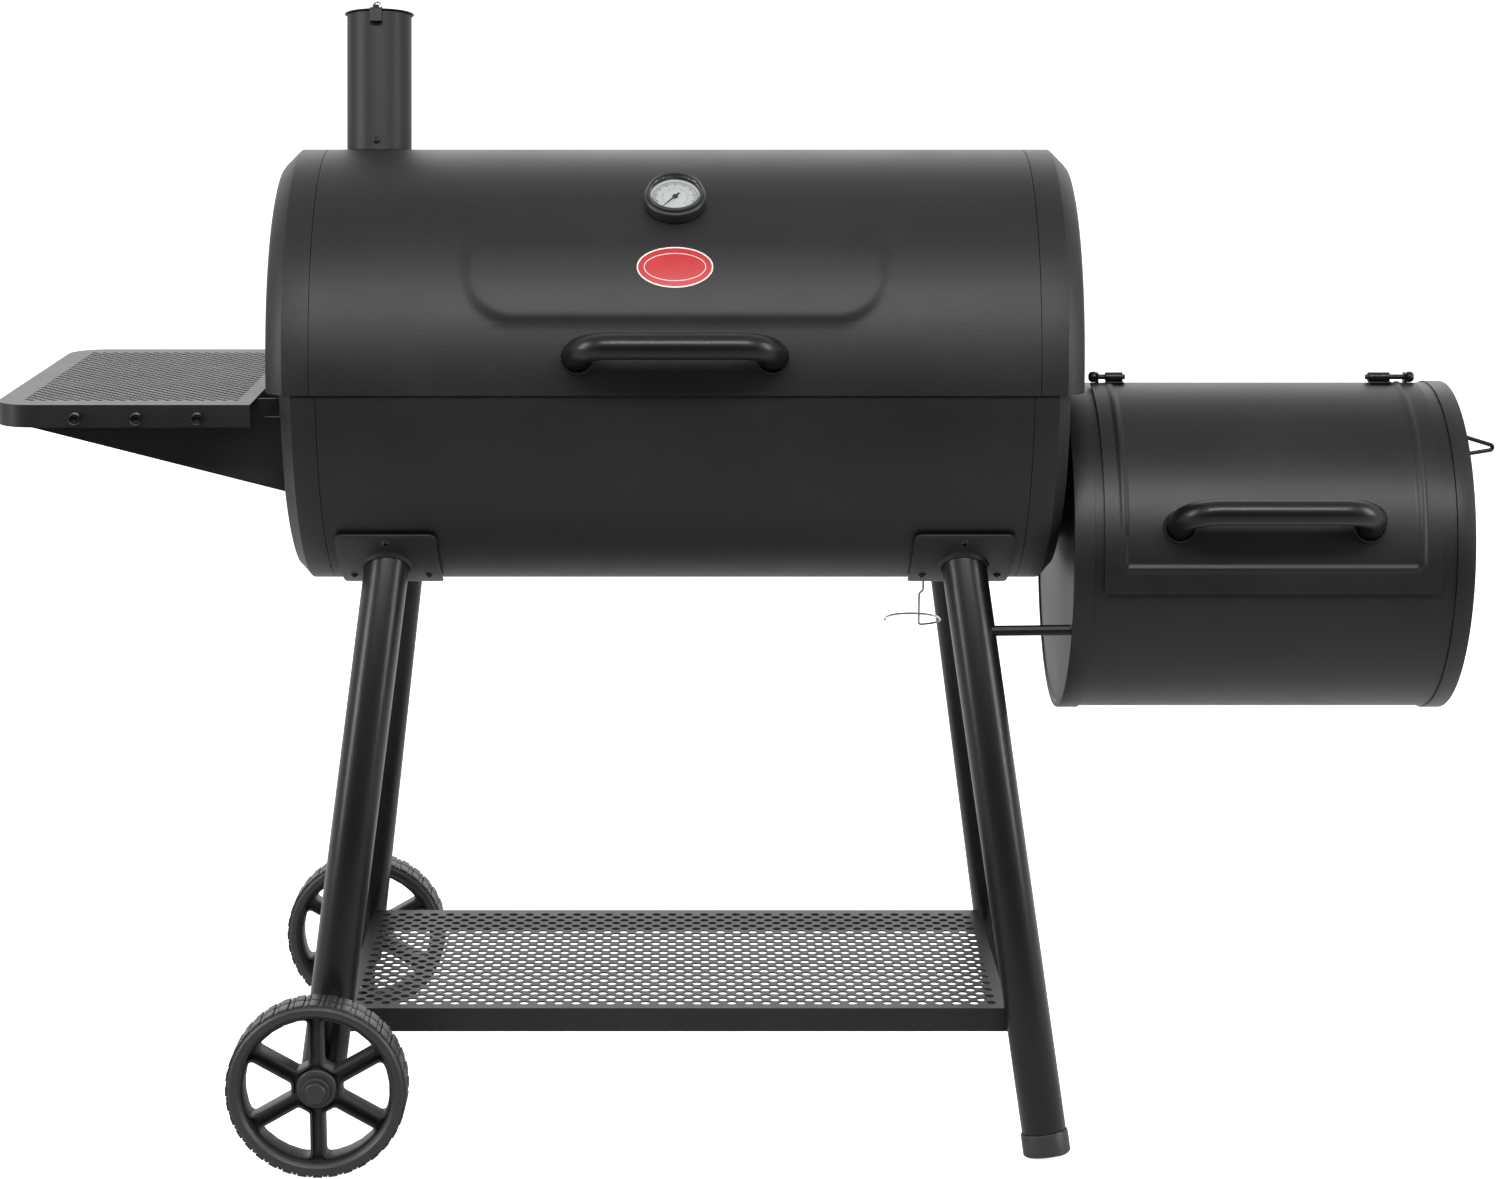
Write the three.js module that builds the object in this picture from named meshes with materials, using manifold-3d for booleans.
// Barrel charcoal grill with an offset firebox, a wheeled stand and a side shelf.
// Millimetres, +Z up, the cook stands on the -Y side. The barrel's middle is X = 0 inside the root group,
// and the root group then puts the middle of the whole footprint over the origin.

import * as THREE from 'three';
import { mergeVertices } from 'three/addons/utils/BufferGeometryUtils.js';
import Module from 'manifold-3d';

const wasm = await Module();
wasm.setup();

// ---- driving dimensions ----

const GAP = 0.3; // clearance between pieces that touch
const WALL = 2.5; // sheet steel of the barrel and the firebox

const AXIS_Z = 886; // barrel axis above the ground
const LID = { radius: 250, seam: 399.5, crease: 429, face: 450, edge: -1 };
const LOWER = { radius: 246, seam: 393, crease: 420, face: 435, rim: 7 };

const FIREBOX = { radius: 192, z: 675, left: 447, right: 897, leftBand: 33, rightBand: 21, shellRadius: 190 };
const DUCT = { radius: 70, z: 770, flange: 85 };

const LID_HINGE = { y: 260, z: 890, x: 260, halfWidth: 30, knuckle: 8, pin: 4 };
const DOOR_HINGE = { y: -14, z: 875, knuckle: 5.5, pin: 3 };
const DOOR = { left: 481, right: 860, top: 84, bottom: -6.3, inner: 192.5, outer: 195 };

const HANDLE = { span: 213, standoff: 60, tilt: 9.5, tube: 14.5, bend: 38, bezel: 18.5 };
const LID_HANDLE_ANGLE = 9.3; // degrees above the horizontal, seen along the barrel axis
const DOOR_HANDLE_ANGLE = 16;

const GAUGE = { angle: 53, radius: 34, height: 20, dial: 26.5, stem: 5, probe: 60, coldNeedle: 140 };
const BADGE = { angle: 32.4, width: 85, height: 51, thickness: 1.6 };
const CHIMNEY = { x: -345, lean: 11, radius: 37.5, wall: 2, height: 158 };

const LEG_RADIUS = 25.4;
const LEG_WALL = 2;
const GROUND = 8; // height of the ground where the barrel's axis is at AXIS_Z
const LEG_TOP = { x: 327, y: 140, z: 680 };
const LEG_PLATE = { from: -74, to: -41.5, halfWidth: 57, thickness: 3, collar: 4, collarDepth: 7 };
const RIGHT_FOOT = { x: 426, y: 240, sole: 6, cupWall: 1.8 };
const STRUT = { radius: 6.2, legX: 338.5, legY: -160, legZ: 604, boxY: -171, boxZ: 607.7 };
const AXLE = { x: -402, radius: 6.35, reach: 317, legY: 229 };
const WHEEL = { radius: 101.6, rimInner: 84, width: 45, inner: 270, hub: 17, spoke: 9, spokes: 6, bore: 6.8 };

const AXLE_Z = GROUND + WHEEL.radius;

const BOTTOM_SHELF = { x: 383, y: 194, top: 168, lip: 28, sheet: 2 };
const SIDE_SHELF = { left: -746, right: -464, y: 250, top: 875, lip: 25, sheet: 2, corner: 42 };
const HOOKS = { first: -651, pitch: 66.5, z: 863, count: 3 };
const GUSSET = { y: 180, thickness: 2.5, outerX: -735, outerZ: 845, innerZ: 768, slotWidth: 22, slotHeight: 5, slotZ: 852 };

const GRATE_Z = -18; // underside of the cooking grates, from the barrel axis
const DAMPER = { z: 735, radius: 85, holeRing: 48, hole: 16, holes: 4 };
const DAMPER_WIRE = { radius: 2.5, bend: 6, topZ: 812.5, tipX: 963, tipZ: 789, lowZ: 776 };
const DRAIN = { x: 292, radius: 8 };
const HANGER = { wire: 1.3, ringRadius: 33, ringZ: 570, jog: 5 };

const ROUND = 36; // facets round a barrel
const SMALL_ROUND = 14; // facets round a tube
const radians = THREE.MathUtils.degToRad;

// ---- finishes ----

const finish = (color, roughness, metalness) => new THREE.MeshStandardMaterial({ color, roughness, metalness });
const PAINT = finish(0x2b2c2e, 0.5, 0.3);
const LEG_PAINT = finish(0x1d1d1f, 0.35, 0.3);
const BLACK_PLASTIC = finish(0x17171a, 0.55, 0);
const CAST_IRON = finish(0x1f1e1e, 0.85, 0.4);
const BRIGHT_WIRE = finish(0x9a9a9c, 0.3, 1);
const DIAL_WHITE = finish(0xe6e6e2, 0.5, 0);
const GLASS = finish(0xf2f6f8, 0.05, 0);
const RED_ENAMEL = finish(0xb3211f, 0.35, 0);

// ---- the model tree ----

const grill = new THREE.Group();

function add(name, geometry, material, parent = grill) {
  const mesh = new THREE.Mesh(geometry, material);
  mesh.name = name;
  parent.add(mesh);
  return mesh;
}

// ---- joining and cutting ----

function solid(geometry) {
  const bare = geometry.clone();
  bare.deleteAttribute('normal');
  bare.deleteAttribute('uv');
  const merged = mergeVertices(bare, 1e-3);
  const index = merged.index.array;
  const triangles = [];
  for (let i = 0; i < index.length; i += 3) {
    const [a, b, c] = [index[i], index[i + 1], index[i + 2]];
    if (a !== b && b !== c && c !== a) triangles.push(a, b, c);
  }
  return new wasm.Manifold(new wasm.Mesh({
    numProp: 3,
    vertProperties: new Float32Array(merged.attributes.position.array),
    triVerts: new Uint32Array(triangles),
  }));
}

function surface(manifold) {
  const mesh = manifold.getMesh();
  const geometry = new THREE.BufferGeometry();
  geometry.setAttribute('position', new THREE.BufferAttribute(mesh.vertProperties, 3));
  geometry.setIndex(new THREE.BufferAttribute(mesh.triVerts, 1));
  return geometry;
}

const join = (...pieces) => surface(pieces.map(solid).reduce((all, next) => all.add(next)));
const cut = (piece, ...tools) => surface(tools.map(solid).reduce((rest, tool) => rest.subtract(tool), solid(piece)));
const keep = (piece, region) => surface(solid(piece).intersect(solid(region)));

// ---- shapes ----

const ALONG_X = new THREE.Matrix4().makeBasis(
  new THREE.Vector3(0, 1, 0), new THREE.Vector3(0, 0, 1), new THREE.Vector3(1, 0, 0));
const ALONG_Y = new THREE.Matrix4().makeBasis(
  new THREE.Vector3(1, 0, 0), new THREE.Vector3(0, 0, 1), new THREE.Vector3(0, -1, 0));

function block(x0, x1, y0, y1, z0, z1) {
  return new THREE.BoxGeometry(x1 - x0, y1 - y0, z1 - z0).translate((x0 + x1) / 2, (y0 + y1) / 2, (z0 + z1) / 2);
}

// A profile of [radius, height] points turned about +Y; the outside of the profile runs upwards.
function turned(profile, facets = SMALL_ROUND) {
  return new THREE.LatheGeometry(profile.map(([r, h]) => new THREE.Vector2(r, h)), facets);
}

const turnedAboutX = (profile, facets) => turned(profile, facets).rotateZ(-Math.PI / 2);
const turnedAboutZ = (profile, facets) => turned(profile, facets).rotateX(Math.PI / 2);

const ringProfile = (inner, outer, low, high) => [
  [outer, low], [outer, high], [inner, high], [inner, low], [outer, low],
];
const rodProfile = (radius, low, high) => [[0, low], [radius, low], [radius, high], [0, high]];

// A wedge seen along the barrel axis, between two heights above the horizontal in degrees, front = 0, top = 90.
function wedge(from, to, reach, x0, x1) {
  const steps = Math.ceil((to - from) / 30);
  const outline = [new THREE.Vector2(0, 0)];
  for (let i = 0; i <= steps; i += 1) {
    const angle = radians(from + ((to - from) * i) / steps);
    outline.push(new THREE.Vector2(-reach * Math.cos(angle), reach * Math.sin(angle)));
  }
  const shape = new THREE.Shape(outline);
  return new THREE.ExtrudeGeometry(shape, { depth: x1 - x0, bevelEnabled: false })
    .applyMatrix4(ALONG_X).translate(x0, 0, 0);
}

// A straight tube or rod from one point to another.
function between(start, end, profileOf, facets = SMALL_ROUND) {
  const run = new THREE.Vector3().subVectors(end, start);
  const turn = new THREE.Quaternion().setFromUnitVectors(new THREE.Vector3(0, 1, 0), run.clone().normalize());
  return turned(profileOf(run.length()), facets).applyQuaternion(turn).translate(start.x, start.y, start.z);
}

// A line through corner points with each corner rounded.
function roundedPath(points, bend) {
  const path = new THREE.CurvePath();
  let from = points[0];
  for (let i = 1; i < points.length - 1; i += 1) {
    const corner = points[i];
    const into = corner.clone().lerp(points[i - 1], bend / corner.distanceTo(points[i - 1]));
    const out = corner.clone().lerp(points[i + 1], bend / corner.distanceTo(points[i + 1]));
    path.add(new THREE.LineCurve3(from, into));
    path.add(new THREE.QuadraticBezierCurve3(into, corner, out));
    from = out;
  }
  path.add(new THREE.LineCurve3(from, points[points.length - 1]));
  return path;
}

function tubeAlong(path, radius, sides, steps) {
  const section = new THREE.Shape();
  for (let i = 0; i < sides; i += 1) {
    const angle = (2 * Math.PI * i) / sides;
    section[i ? 'lineTo' : 'moveTo'](radius * Math.cos(angle), radius * Math.sin(angle));
  }
  return new THREE.ExtrudeGeometry(section, { extrudePath: path, steps, bevelEnabled: false });
}

// A group standing on a barrel's skin: its +Z points straight out, its +X runs along the barrel.
function onBarrel(radius, axisZ, angle, x) {
  const stand = new THREE.Group();
  stand.position.set(x, -radius * Math.cos(radians(angle)), axisZ + radius * Math.sin(radians(angle)));
  stand.rotation.x = Math.PI / 2 - radians(angle);
  grill.add(stand);
  return stand;
}

// ---- the barrel's sheet metal ----

// A shallow dish that closes a barrel's right end: a band, a chamfered corner and a flat face.
function dish(radius, seam, crease, face) {
  const corner = face - crease;
  const inside = WALL * 0.4;
  return turnedAboutX([
    [radius, seam], [radius, crease], [radius - corner * 0.3, crease + corner * 0.7], [radius - corner, face],
    [0, face], [0, face - WALL], [radius - corner - inside, face - WALL],
    [radius - WALL, crease - inside], [radius - WALL, seam], [radius, seam],
  ], ROUND);
}

const sheet = (radius, x0, x1) => turnedAboutX(ringProfile(radius - WALL, radius, x0, x1), ROUND);
const onAxis = (geometry) => geometry.translate(0, 0, AXIS_Z);
const toLeft = (geometry) => geometry.clone().rotateZ(Math.PI);
const below = (z) => block(-600, 600, -300, 300, -300, z);
const above = (z) => block(-600, 600, -300, 300, z, 300);
const rodX = (radius, x0, x1, y, z) => turnedAboutX(rodProfile(radius, x0, x1), SMALL_ROUND).translate(0, y, z);

function lowerBarrel() {
  const trough = keep(sheet(LOWER.radius, -LOWER.seam + GAP, LOWER.seam - GAP), below(LOWER.rim));
  const drain = turnedAboutZ(rodProfile(DRAIN.radius, -300, -200)).translate(DRAIN.x, 0, 0);
  add('lower_barrel', onAxis(cut(trough, drain)), PAINT);
  const end = keep(dish(LOWER.radius, LOWER.seam, LOWER.crease, LOWER.face), below(LOWER.rim));
  add('lower_end_left', onAxis(toLeft(end)), PAINT);
  add('lower_end_right', onAxis(cut(end, rodX(DUCT.radius, 400, 460, 0, DUCT.z - AXIS_Z))), PAINT);
}

function lid() {
  const flue = turnedAboutZ(rodProfile(CHIMNEY.radius - CHIMNEY.wall, 200, 300))
    .rotateX(radians(-CHIMNEY.lean)).translate(CHIMNEY.x, 0, 0);
  const stemHole = turnedAboutZ(rodProfile(GAUGE.stem + 1.5, 200, 300)).rotateX(radians(90 - GAUGE.angle));
  const cover = keep(sheet(LID.radius, -LID.seam + GAP, LID.seam - GAP), above(LID.edge));
  add('lid_shell', onAxis(cut(cover, flue, stemHole)), PAINT);
  const end = keep(dish(LID.radius, LID.seam, LID.crease, LID.face), above(LID.edge));
  add('lid_end_right', onAxis(end.clone()), PAINT);
  add('lid_end_left', onAxis(toLeft(end)), PAINT);
}

// ---- inside the barrel ----

// A flat grate with slots that run front to back.
function grate(x0, x1, halfDepth, thickness, slots, bar, border) {
  const pitch = (x1 - x0 - 2 * border + bar) / slots;
  const openings = [];
  for (let i = 0; i < slots; i += 1) {
    const left = x0 + border + i * pitch;
    openings.push(block(left, left + pitch - bar, border - halfDepth, halfDepth - border, -1, thickness + 1));
  }
  return cut(block(x0, x1, -halfDepth, halfDepth, 0, thickness), ...openings);
}

function grates() {
  const width = 254;
  for (let i = 0; i < 3; i += 1) {
    const middle = (i - 1) * (width + 2);
    const plate = grate(middle - width / 2, middle + width / 2, 236, 10, 12, 9, 12);
    add(`cooking_grate_${i + 1}`, plate.translate(0, 0, AXIS_Z + GRATE_Z), CAST_IRON);
  }
  const railTop = AXIS_Z + GRATE_Z - GAP;
  for (const [name, side] of [['front', -1], ['rear', 1]]) {
    const flange = block(-380, 380, 221, 240, railTop - 2, railTop);
    const web = block(-380, 380, 236, 238, railTop - 26, railTop);
    const rail = join(flange, web);
    add(`grate_rail_${name}`, side < 0 ? rail.rotateZ(Math.PI) : rail, PAINT);
  }
  add('charcoal_grate', grate(-380, 380, 201, 3, 16, 14, 18).translate(0, 0, AXIS_Z - 133), CAST_IRON);
}

// ---- handles, gauge, badge and chimney ----

// A bent tube with a bezel round each foot, standing on +Z and leaning a little up the skin.
function handle() {
  const half = HANDLE.span / 2;
  const buried = -10;
  const path = roundedPath([
    new THREE.Vector3(-half, 0, buried), new THREE.Vector3(-half, 0, HANDLE.standoff),
    new THREE.Vector3(half, 0, HANDLE.standoff), new THREE.Vector3(half, 0, buried),
  ], HANDLE.bend);
  const bow = tubeAlong(path, HANDLE.tube, 10, 16).rotateX(radians(-HANDLE.tilt));
  const bezel = turnedAboutZ(rodProfile(HANDLE.bezel, GAP, 5), 12);
  return join(cut(bow, block(-200, 200, -50, 50, -50, GAP)),
    bezel.clone().translate(-half, 0, 0), bezel.translate(half, 0, 0));
}

function gauge() {
  const stand = onBarrel(LID.radius, AXIS_Z, GAUGE.angle, 0);
  const cup = turnedAboutZ([
    [0, -GAUGE.probe], [GAUGE.stem, -GAUGE.probe], [GAUGE.stem, GAP], [GAUGE.radius, GAP], [GAUGE.radius, 15],
    [GAUGE.radius - 4, GAUGE.height], [28, GAUGE.height], [28, 8], [0, 8],
  ], 20);
  add('gauge_housing', cup, BLACK_PLASTIC, stand);
  add('gauge_dial', turnedAboutZ(rodProfile(GAUGE.dial, 8 + GAP, 9.5), 20), DIAL_WHITE, stand);
  const hub = turnedAboutZ(rodProfile(3, 10.2, 12), 8);
  const needle = join(block(-1.1, 1.1, -7, 20, 10.6, 11.4), hub).rotateZ(radians(GAUGE.coldNeedle));
  add('gauge_needle', needle, BLACK_PLASTIC, stand);
  add('gauge_glass', turnedAboutZ(rodProfile(28 - GAP, 15, 17), 20), GLASS, stand);
}

function badge() {
  const oval = new THREE.Shape().absellipse(0, 0, BADGE.width / 2, BADGE.height / 2, 0, 2 * Math.PI);
  const prism = new THREE.ExtrudeGeometry(oval, { depth: 40, bevelEnabled: false, curveSegments: 10 })
    .translate(0, 0, LID.radius - 20).rotateX(radians(90 - BADGE.angle));
  const skin = turnedAboutX(
    ringProfile(LID.radius + GAP, LID.radius + GAP + BADGE.thickness, -BADGE.width, BADGE.width), ROUND);
  add('badge_plate', onAxis(keep(skin, prism)), RED_ENAMEL);
}

function chimney() {
  const stand = new THREE.Group();
  stand.position.set(CHIMNEY.x, 0, AXIS_Z);
  stand.rotation.x = radians(-CHIMNEY.lean);
  grill.add(stand);
  const top = LID.radius + CHIMNEY.height;
  const pipe = turnedAboutZ(ringProfile(CHIMNEY.radius - CHIMNEY.wall, CHIMNEY.radius, LID.radius - 30, top), 20);
  const lidSkin = turnedAboutX(rodProfile(LID.radius + GAP, -100, 100), ROUND).rotateX(radians(CHIMNEY.lean));
  add('chimney', cut(pipe, lidSkin), PAINT, stand);
  const pinY = -CHIMNEY.radius - 5;
  const bracket = block(-7, 7, pinY - 5, -CHIMNEY.radius - GAP, top - 14, top - GAP);
  const pin = turnedAboutZ(rodProfile(2, top - 5, top + 5), 8).translate(0, pinY, 0);
  const head = turnedAboutZ(rodProfile(4, top + 2.5, top + 5), 8).translate(0, pinY, 0);
  add('chimney_cap_pivot', join(bracket, pin, head), PAINT, stand);
  const disc = turnedAboutZ(rodProfile(CHIMNEY.radius + 3, top + GAP, top + 2), 20);
  const ear = block(-7, 7, pinY - 6, 0, top + GAP, top + 2);
  const ring = new THREE.TorusGeometry(5, 1.2, 5, 10).rotateX(Math.PI / 2).translate(0, -22, top + 6.8);
  const pinHole = turnedAboutZ(rodProfile(2.6, top - 1, top + 3), 8).translate(0, pinY, 0);
  add('chimney_cap', cut(join(disc, ear, ring), pinHole), PAINT, stand);
}

function lidHinges() {
  const { y, z, halfWidth, knuckle, pin } = LID_HINGE;
  for (const [name, x] of [['left', -LID_HINGE.x], ['right', LID_HINGE.x]]) {
    const barrelLeaf = join(
      block(-halfWidth, halfWidth, LOWER.radius + 0.5, LOWER.radius + 3.5, 820, 882),
      block(-halfWidth, -0.5, LOWER.radius + 0.5, y + 3, 878, 884),
      rodX(knuckle, -halfWidth, -0.5, y, z), rodX(pin, -halfWidth, halfWidth + 3, y, z));
    add(`lid_hinge_fixed_${name}`, barrelLeaf.translate(x, 0, 0), PAINT);
    const strap = onAxis(keep(
      turnedAboutX(ringProfile(LID.radius + GAP, LID.radius + 3.3, -halfWidth, halfWidth), ROUND),
      wedge(162, 177, 400, -halfWidth, halfWidth)));
    const web = block(0.5, halfWidth, LID.radius + 1, y + 2, z + 5, z + 10);
    const lidLeaf = join(strap, web, rodX(knuckle, 0.5, halfWidth, y, z));
    add(`lid_hinge_moving_${name}`, cut(lidLeaf, rodX(pin + 0.4, 0, halfWidth + 1, y, z)).translate(x, 0, 0), PAINT);
  }
}

// ---- the firebox ----

function fireboxShell() {
  const { radius, shellRadius, z, left, right, leftBand, rightBand } = FIREBOX;
  const body = sheet(shellRadius, left + leftBand + GAP, right - rightBand - GAP);
  const doorway = wedge(2, 76, 400, DOOR.left + 14, DOOR.right - 14);
  add('firebox_shell', cut(body, doorway).translate(0, 0, z), PAINT);

  const rightDish = dish(radius, right - rightBand, right - 4, right);
  const vents = [];
  for (let i = 0; i < DAMPER.holes; i += 1) {
    const angle = (2 * Math.PI * i) / DAMPER.holes;
    vents.push(rodX(DAMPER.hole, right - 20, right + 20,
      DAMPER.holeRing * Math.sin(angle), DAMPER.z - z + DAMPER.holeRing * Math.cos(angle)));
  }
  const studZ = DAMPER.z - z;
  const stud = join(rodX(4, right - 1, right + 6, 0, studZ), rodX(9, right + 3, right + 7, 0, studZ));
  add('firebox_end_right', join(cut(rightDish, ...vents), stud).translate(0, 0, z), PAINT);

  const leftDish = toLeft(dish(radius, -left - leftBand, -left - 4, -left));
  const mouth = rodX(DUCT.radius, left - 20, left + 20, 0, DUCT.z - z);
  add('firebox_end_left', cut(leftDish, mouth).translate(0, 0, z), PAINT);

  const collar = turnedAboutX(ringProfile(DUCT.radius, DUCT.flange, LOWER.face + GAP, left - GAP), 20);
  add('duct_flange', collar.translate(0, 0, DUCT.z), PAINT);

  const bedX0 = left + leftBand + 4;
  const bed = grate(bedX0, right - rightBand - 4, 147, 4, 14, 12, 14);
  add('firebox_grate', bed.translate(0, 0, z - 112), CAST_IRON);

  const disc = join(turnedAboutX(rodProfile(DAMPER.radius, right + GAP, right + 2), 20));
  const shutter = cut(disc, ...vents.map((vent) => vent.clone().translate(0, 0, -studZ).rotateX(Math.PI / 4)),
    rodX(4.4, right - 1, right + 3, 0, 0));
  add('damper', shutter.translate(0, 0, DAMPER.z), PAINT);
  const wire = roundedPath([
    new THREE.Vector3(right - 2, 0, DAMPER_WIRE.topZ), new THREE.Vector3(DAMPER_WIRE.tipX, 0, DAMPER_WIRE.tipZ),
    new THREE.Vector3(right - 2, 0, DAMPER_WIRE.lowZ),
  ], DAMPER_WIRE.bend);
  const damperFront = right + 2 + GAP;
  const loop = tubeAlong(wire, DAMPER_WIRE.radius, 6, 12);
  add('damper_handle', cut(loop, block(right - 20, damperFront, -20, 20, 700, 900)), LEG_PAINT);
}

function fireboxDoor() {
  const { y, z, knuckle, pin } = DOOR_HINGE;
  const axis = FIREBOX.z;
  const panel = keep(
    turnedAboutX(ringProfile(DOOR.inner, DOOR.outer, DOOR.left, DOOR.right), ROUND),
    wedge(DOOR.bottom, DOOR.top, 400, DOOR.left, DOOR.right)).translate(0, 0, axis);
  const barrels = [[DOOR.left + 18, DOOR.left + 38], [DOOR.right - 56, DOOR.right - 31]];
  const leaves = barrels.flatMap(([x0, x1]) => [
    block(x0, x1, y - 16, y, z - 7.5, z - 3.5), rodX(knuckle, x0, x1, y, z)]);
  const bores = barrels.map(([x0, x1]) => rodX(pin + 0.4, x0 - 1, x1 + 1, y, z));
  add('firebox_door', cut(join(panel, ...leaves), ...bores), PAINT);

  const shellSkin = turnedAboutX(rodProfile(FIREBOX.shellRadius + GAP, 400, 950), ROUND).translate(0, 0, axis);
  const ears = [['left', DOOR.left + 7, DOOR.left + 41], ['right', DOOR.right - 14, DOOR.right - 59]];
  for (const [name, earX, pinEnd] of ears) {
    const ear = block(earX, earX + 3, y - 5, y + 10, axis + 150, z + 6);
    const rod = rodX(pin, Math.min(earX, pinEnd), Math.max(earX + 3, pinEnd), y, z);
    add(`door_hinge_${name}`, join(cut(ear, shellSkin), rod), LEG_PAINT);
  }
  const middle = (DOOR.left + DOOR.right) / 2;
  add('door_handle', handle(), LEG_PAINT, onBarrel(DOOR.outer, axis, DOOR_HANDLE_ANGLE, middle));
}

// ---- the stand ----

function stand() {
  const skin = (radius) => onAxis(turnedAboutX(rodProfile(radius, -600, 600), ROUND));
  const plateOuter = LOWER.radius + GAP + LEG_PLATE.thickness;
  const corners = [['front_left', -1, -1], ['front_right', 1, -1], ['rear_left', -1, 1], ['rear_right', 1, 1]];
  const shafts = [];
  const aboveAxis = block(-700, 700, -400, 400, AXIS_Z - 100, AXIS_Z + 300);
  for (const [name, sx, sy] of corners) {
    const top = new THREE.Vector3(sx * LEG_TOP.x, sy * LEG_TOP.y, LEG_TOP.z);
    const foot = sx > 0
      ? new THREE.Vector3(RIGHT_FOOT.x, sy * RIGHT_FOOT.y, GROUND)
      : new THREE.Vector3(AXLE.x, sy * AXLE.legY, AXLE_Z);
    const start = top.clone().lerp(foot, -0.12);
    const end = top.clone().lerp(foot, 1.12);
    const legTube = between(start, end, (run) => ringProfile(LEG_RADIUS - LEG_WALL, LEG_RADIUS, 0, run));
    const base = sx > 0 ? GROUND + RIGHT_FOOT.sole + GAP : AXLE_Z - 18;
    const floorCut = block(-700, 700, -400, 400, -200, base);
    const axleBore = between(new THREE.Vector3(AXLE.x, -400, AXLE_Z), new THREE.Vector3(AXLE.x, 400, AXLE_Z),
      (run) => rodProfile(AXLE.radius + GAP, 0, run));
    add(`leg_${name}`, cut(legTube, skin(plateOuter + GAP), floorCut, axleBore), LEG_PAINT);
    shafts.push(between(start, end, (run) => rodProfile(LEG_RADIUS + GAP, 0, run)));

    const sleeve = between(start, end, (run) => ringProfile(LEG_RADIUS + GAP, LEG_RADIUS + LEG_PLATE.collar, 0, run));
    const collar = keep(cut(sleeve, skin(plateOuter - 1), aboveAxis), skin(plateOuter + LEG_PLATE.collarDepth));
    const [x0, x1] = [-1, 1].map((edge) => sx * (LEG_TOP.x - 2) + edge * LEG_PLATE.halfWidth);
    const span = sy < 0 ? [LEG_PLATE.from, LEG_PLATE.to] : [180 - LEG_PLATE.to, 180 - LEG_PLATE.from];
    const plate = onAxis(keep(
      turnedAboutX(ringProfile(LOWER.radius + GAP, plateOuter, x0, x1), ROUND), wedge(...span, 400, x0, x1)));
    add(`leg_plate_${name}`, join(cut(plate, shafts[shafts.length - 1]), collar), PAINT);

    if (sx > 0) {
      const cup = between(foot.clone().lerp(top, -0.05), foot.clone().lerp(top, 0.04),
        (run) => rodProfile(LEG_RADIUS + RIGHT_FOOT.cupWall, 0, run));
      const socket = keep(shafts[shafts.length - 1], block(300, 600, -400, 400, GROUND + RIGHT_FOOT.sole, 100));
      add(`foot_cap_${name}`, cut(cup, block(300, 600, -400, 400, -100, GROUND), socket), BLACK_PLASTIC);
    }
  }

  const { x, y, top, lip, sheet: gauge } = BOTTOM_SHELF;
  const tray = cut(block(-x, x, -y, y, top - lip, top),
    block(gauge - x, x - gauge, gauge - y, y - gauge, top - lip - 5, top - gauge), ...shafts);
  add('bottom_shelf', tray, PAINT);

  const strutStart = new THREE.Vector3(STRUT.legX, STRUT.legY, STRUT.legZ);
  const strutEnd = new THREE.Vector3(FIREBOX.left + 20, STRUT.boxY, STRUT.boxZ);
  const strut = between(strutStart, strutEnd, (run) => rodProfile(STRUT.radius, 0, run), 10);
  add('firebox_strut', cut(strut, shafts[1], block(FIREBOX.left - GAP, 900, -400, 400, 500, 700)), LEG_PAINT);
}

function wheels() {
  const axle = turned(rodProfile(AXLE.radius, -AXLE.reach, AXLE.reach), 12).translate(AXLE.x, 0, AXLE_Z);
  add('axle', axle, BRIGHT_WIRE);
  const outer = WHEEL.inner + WHEEL.width;
  for (const [name, side] of [['front', -1], ['rear', 1]]) {
    const rim = turned([
      [WHEEL.radius, WHEEL.inner + 3], [WHEEL.radius, outer - 3], [WHEEL.radius - 4, outer],
      [WHEEL.rimInner, outer], [WHEEL.rimInner, WHEEL.inner], [WHEEL.radius - 4, WHEEL.inner],
      [WHEEL.radius, WHEEL.inner + 3],
    ], 28);
    const hub = turned(rodProfile(WHEEL.hub, WHEEL.inner - 4, outer));
    const spokes = [];
    for (let i = 0; i < WHEEL.spokes; i += 1) {
      const spoke = block(-WHEEL.spoke / 2, WHEEL.spoke / 2, WHEEL.inner + 12, outer - 8, 10, WHEEL.rimInner + 4);
      spokes.push(spoke.rotateY((2 * Math.PI * i) / WHEEL.spokes));
    }
    const bore = turned(rodProfile(WHEEL.bore, 0, 400), 12);
    const wheel = cut(join(rim, hub, ...spokes), bore);
    const cap = cut(turned(rodProfile(13, outer + GAP, outer + 8)), turned(rodProfile(WHEEL.bore, 0, outer + 3), 12));
    for (const [piece, geometry, material] of [['wheel', wheel, BLACK_PLASTIC], ['hub_cap', cap, LEG_PAINT]]) {
      const facing = side < 0 ? geometry.rotateZ(Math.PI) : geometry;
      add(`${piece}_${name}`, facing.translate(AXLE.x, 0, AXLE_Z), material);
    }
  }
}

// ---- the side shelf ----

function trayOutline(inset) {
  const { left, right, y, corner } = SIDE_SHELF;
  const [x0, reach, bend] = [left + inset, y - inset, corner - inset];
  const outline = new THREE.Shape();
  outline.moveTo(inset ? right + 5 : right, -reach);
  outline.lineTo(inset ? right + 5 : right, reach);
  outline.lineTo(x0 + bend, reach);
  outline.absarc(x0 + bend, reach - bend, bend, Math.PI / 2, Math.PI);
  outline.absarc(x0 + bend, bend - reach, bend, Math.PI, 1.5 * Math.PI);
  outline.closePath();
  return outline;
}

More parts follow.
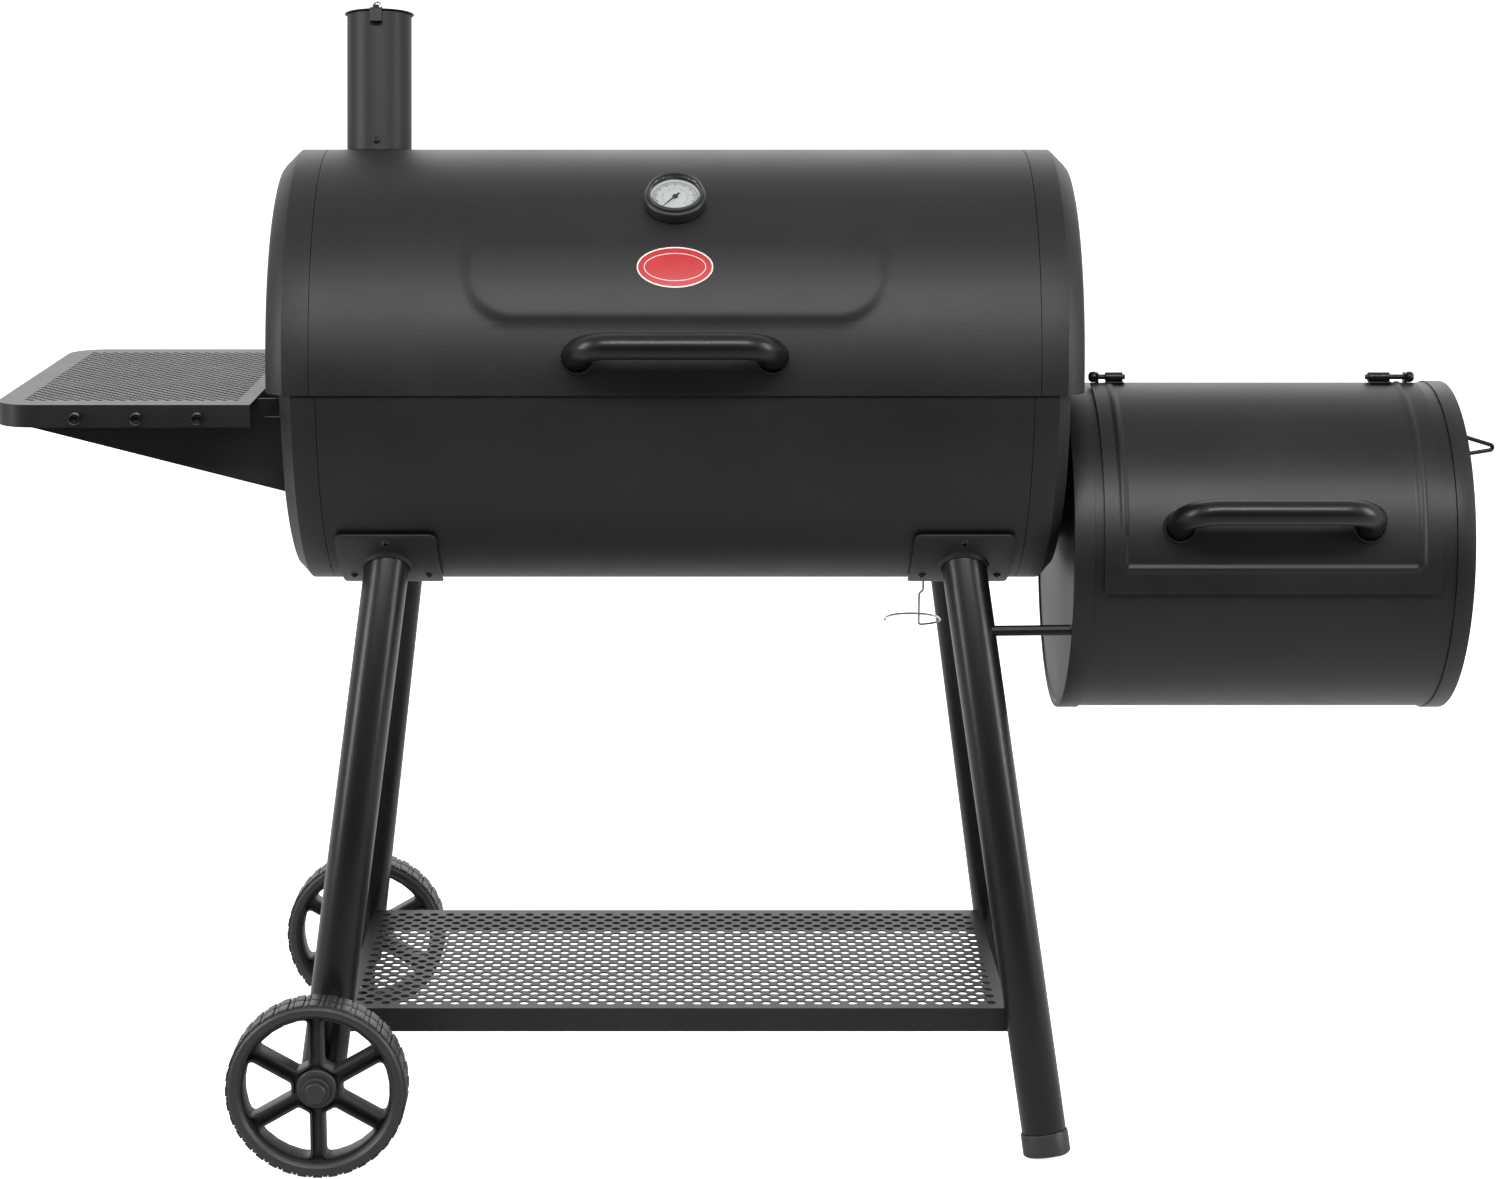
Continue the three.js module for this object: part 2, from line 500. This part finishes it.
function sideShelf() {
  const { top, lip, sheet: gauge, y } = SIDE_SHELF;
  const outside = new THREE.ExtrudeGeometry(trayOutline(0), { depth: lip, bevelEnabled: false, curveSegments: 4 });
  const inside = new THREE.ExtrudeGeometry(trayOutline(gauge), { depth: lip, bevelEnabled: false, curveSegments: 4 });
  add('side_shelf', cut(outside.translate(0, 0, top - lip), inside.translate(0, 0, top - lip - gauge)), PAINT);

  for (let i = 0; i < HOOKS.count; i += 1) {
    const peg = join(turned(rodProfile(4, -y - 24, -y - GAP), 8), turned(rodProfile(6.3, -y - 28, -y - 18), 8));
    add(`tool_hook_${i + 1}`, peg.translate(HOOKS.first + i * HOOKS.pitch, 0, HOOKS.z), LEG_PAINT);
  }

  const wallX = -LOWER.face - GAP;
  const underside = top - gauge - GAP;
  const side = new THREE.Shape([
    new THREE.Vector2(GUSSET.outerX, GUSSET.outerZ), new THREE.Vector2(wallX, GUSSET.innerZ),
    new THREE.Vector2(wallX, underside), new THREE.Vector2(GUSSET.outerX, underside),
  ]);
  const web = new THREE.ExtrudeGeometry(side, { depth: GUSSET.thickness, bevelEnabled: false }).applyMatrix4(ALONG_Y);
  const foot = block(wallX - GUSSET.thickness, wallX, -1, 20, GUSSET.innerZ + 2, underside);
  const slot = block(wallX - GUSSET.slotWidth, wallX - GUSSET.thickness, -10, 10, GUSSET.slotZ, GUSSET.slotZ + GUSSET.slotHeight);
  const slotted = cut(web, slot);
  const bracket = join(slotted, foot).translate(0, -GUSSET.y, 0);
  add('shelf_bracket_front', bracket.clone(), PAINT);
  const mirrored = join(slotted.translate(0, GUSSET.thickness, 0), foot.translate(0, -19, 0)).translate(0, GUSSET.y, 0);
  add('shelf_bracket_rear', mirrored, PAINT);
}

// ---- the grease can hanger ----

function greaseHanger() {
  const { wire, ringRadius, ringZ, jog } = HANGER;
  const inner = AXIS_Z - LOWER.radius + WALL;
  const high = inner + wire + 1;
  const { x } = DRAIN;
  const centre = new THREE.Vector3(x + 1, ringRadius + 1, ringZ);
  const route = [
    new THREE.Vector3(x - 16, 0, high), new THREE.Vector3(x, 0, high), new THREE.Vector3(x, 0, 618),
    new THREE.Vector3(x - jog, 0, 610), new THREE.Vector3(x - jog, 0, ringZ - 1),
    new THREE.Vector3(x + 2 * jog, 4, ringZ),
  ];
  for (let degrees = -62; degrees <= 190; degrees += 18) {
    const angle = radians(degrees);
    route.push(new THREE.Vector3(
      centre.x + ringRadius * Math.cos(angle), centre.y + ringRadius * Math.sin(angle), ringZ + (degrees + 62) * 0.015));
  }
  add('grease_hanger', tubeAlong(roundedPath(route, 2), wire, 5, 60), BRIGHT_WIRE);
}

lowerBarrel();
grates();
lid();
add('lid_handle', handle(), LEG_PAINT, onBarrel(LID.radius, AXIS_Z, LID_HANDLE_ANGLE, 0));
gauge();
badge();
chimney();
lidHinges();
fireboxShell();
fireboxDoor();
stand();
wheels();
sideShelf();
greaseHanger();

const footprint = new THREE.Box3().setFromObject(grill).getCenter(new THREE.Vector3());
grill.position.set(-footprint.x, -footprint.y, -GROUND);

export default grill;
